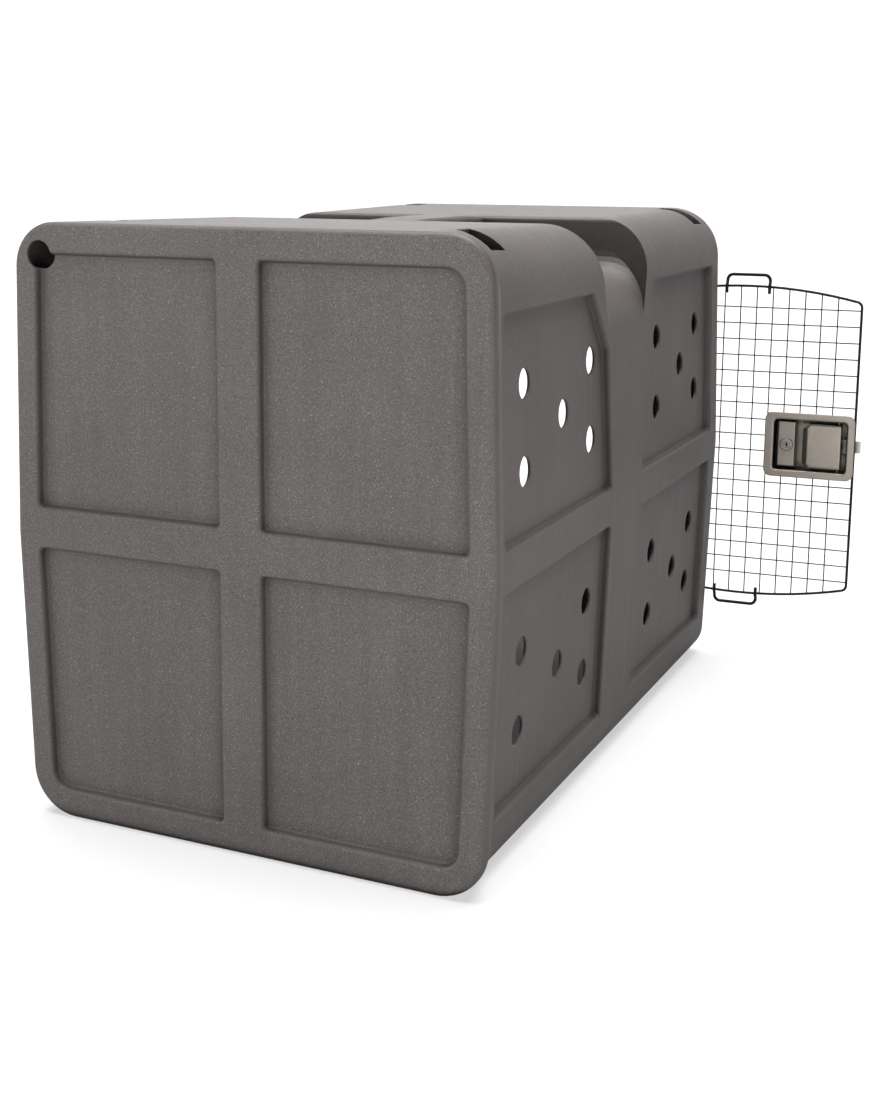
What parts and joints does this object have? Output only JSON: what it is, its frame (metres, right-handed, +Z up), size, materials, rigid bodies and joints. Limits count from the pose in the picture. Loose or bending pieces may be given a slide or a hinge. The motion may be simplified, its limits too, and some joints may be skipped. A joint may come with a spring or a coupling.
{
  "type": "pet transport carrier",
  "caption": "Moulded pet carrier with vented recessed side panels, a moulded grip in a top groove, and a hinged welded-wire door with a flush locking paddle latch, shown open",
  "frame": {"origin": "centre of the flat base on the floor, midway between the two sides and the two ends of the shell", "axes": "+Z up; Y along the length with the doorway at -Y and the plain end at +Y; X across the width, the door's hinge on the -X side of the doorway"},
  "size_m": [0.8151, 1.0731, 0.72],
  "materials": {
    "shell_plastic": "speckled grey rotational-moulded polyethylene, fine grain",
    "coated_wire": "very dark satin powder coat on round steel wire",
    "latch_steel": "fine satin stainless with a warm grey tint",
    "lock_chrome": "dulled plating on the key cylinder",
    "hardware_steel": "plain zinc-plated steel"
  },
  "bodies": {
    "carrier": {"shell": "shell_plastic", "hinge_clamps": "hardware_steel", "hinge_bolts": "hardware_steel", "hinge_washers": "hardware_steel", "hinge_nuts": "hardware_steel"},
    "door": {"door_frame": "coated_wire", "door_mesh_upright": "coated_wire", "door_mesh_cross": "coated_wire", "bail_top": "coated_wire", "bail_bottom": "coated_wire", "latch_pan": "latch_steel", "latch_clamp_bars": "hardware_steel", "latch_clamp_nuts": "hardware_steel", "lock_block": "latch_steel", "lock_barrel": "lock_chrome", "lock_nut": "hardware_steel", "paddle_pin": "hardware_steel", "bolt_guide": "hardware_steel", "spring_stop": "hardware_steel", "latch_rivets": "hardware_steel", "bolt_spring": "hardware_steel"},
    "paddle": {"paddle": "latch_steel"},
    "bolt": {"slide_bolt": "hardware_steel"},
    "lock_core": {"lock_plug": "lock_chrome", "lock_cam": "hardware_steel", "cam_screw": "hardware_steel"}
  },
  "joints": [
    {"name": "door_hinge", "type": "hinge", "parent": "carrier", "child": "door", "pos_m": [-0.1525, -0.5095, 0.3494], "axis": [0, 0, 1], "range_deg": [0, 177.1]},
    {"name": "paddle_pull", "type": "hinge", "parent": "door", "child": "paddle", "pos_m": [-0.47543, -0.52886, 0.3494], "axis": [0, 0, 1], "range_deg": [0, 28], "stiffness_Nm_per_rad": 0.3, "springref_deg": -5.73},
    {"name": "bolt_slide", "type": "slide", "parent": "door", "child": "bolt", "axis": [0.9987, 0.0506, 0], "range_m": [0, 0.0087], "deforming": ["bolt_spring"]},
    {"name": "lock_turn", "type": "hinge", "parent": "door", "child": "lock_core", "pos_m": [-0.39614, -0.52284, 0.3494], "axis": [-0.0506, 0.9987, 0], "range_deg": [0, 90]}
  ],
  "couplings": [
    {"joint": "bolt_slide", "follows": "paddle_pull", "m_per_rad": 0.0176}
  ]
}
